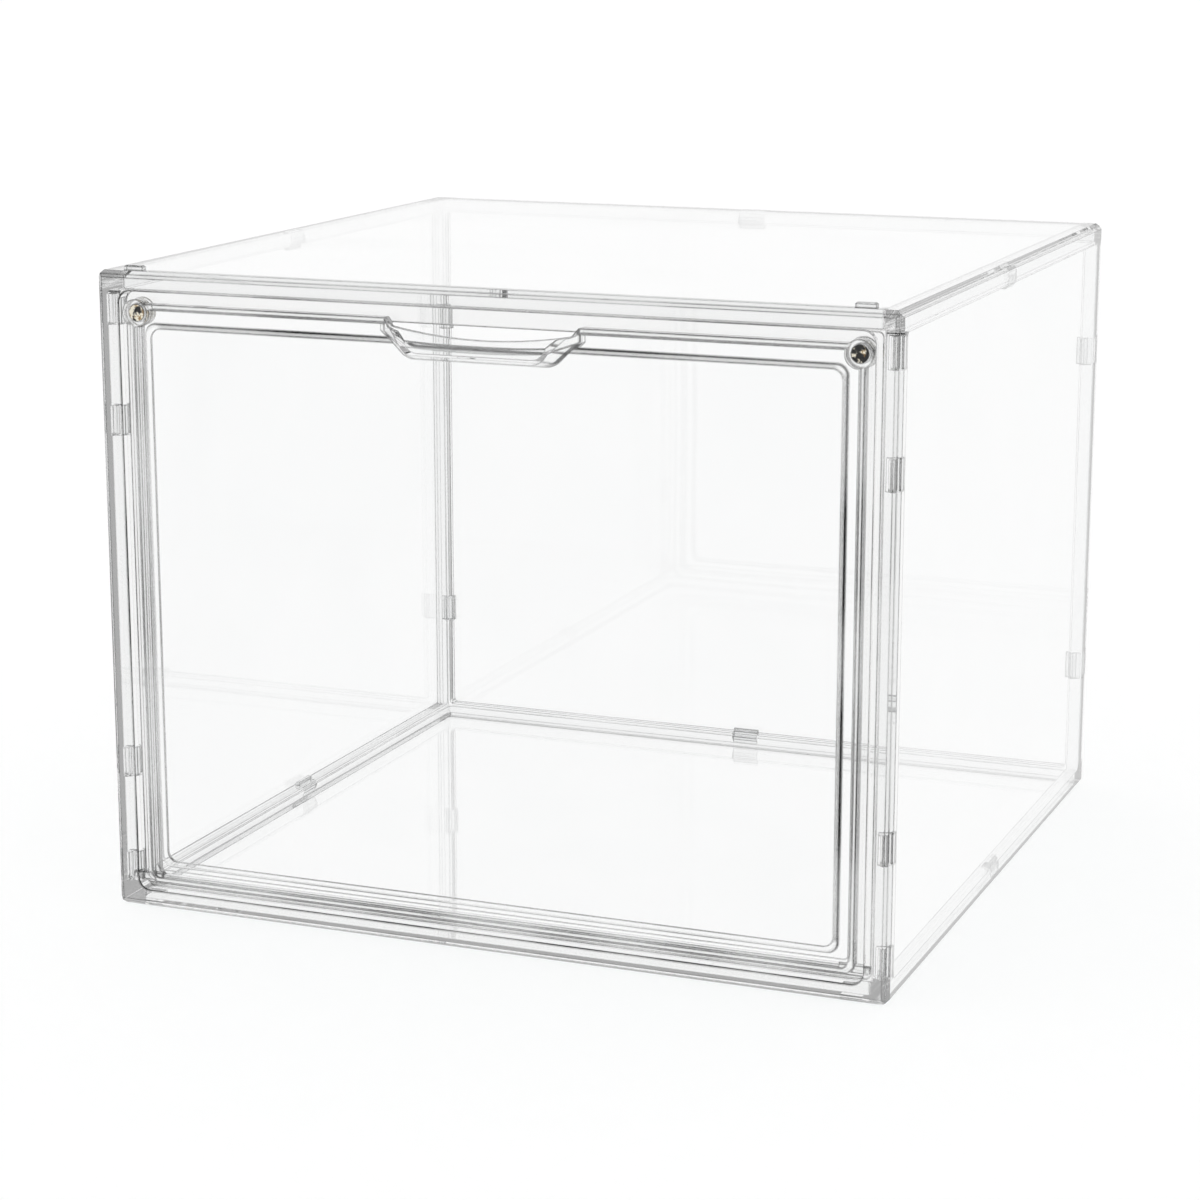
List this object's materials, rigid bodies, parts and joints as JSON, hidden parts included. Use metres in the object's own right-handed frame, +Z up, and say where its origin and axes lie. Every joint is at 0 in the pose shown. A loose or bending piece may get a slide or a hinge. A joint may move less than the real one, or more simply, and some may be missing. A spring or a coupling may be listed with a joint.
{
  "type": "clear stacking display case with drop-down door",
  "caption": "Clear snap-together display case whose front door drops forward on moulded hinge pins, closes on disc magnets and opens by a scooped pull.",
  "frame": {"origin": "on the surface that the case stands on, under the middle of the box that bounds the closed case, its pull and stacking locators included", "axes": "+X to the right as seen from the door, +Y from the door to the back, +Z up"},
  "size_m": [0.33, 0.326, 0.264],
  "materials": {
    "clear_plastic": "clear, polished",
    "magnet": "nickel-plated"
  },
  "bodies": {
    "case": {"bottom_panel": "clear_plastic", "top_panel": "clear_plastic", "left_panel": "clear_plastic", "right_panel": "clear_plastic", "back_panel": "clear_plastic", "front_frame": "clear_plastic", "frame_magnet_left": "magnet", "frame_magnet_right": "magnet"},
    "door": {"door": "clear_plastic", "door_magnet_left": "magnet", "door_magnet_right": "magnet"}
  },
  "joints": [
    {"name": "door_hinge", "type": "hinge", "parent": "case", "child": "door", "pos_m": [0, -0.15355, 0.01285], "axis": [1, 0, 0], "range_deg": [0, 90]}
  ]
}
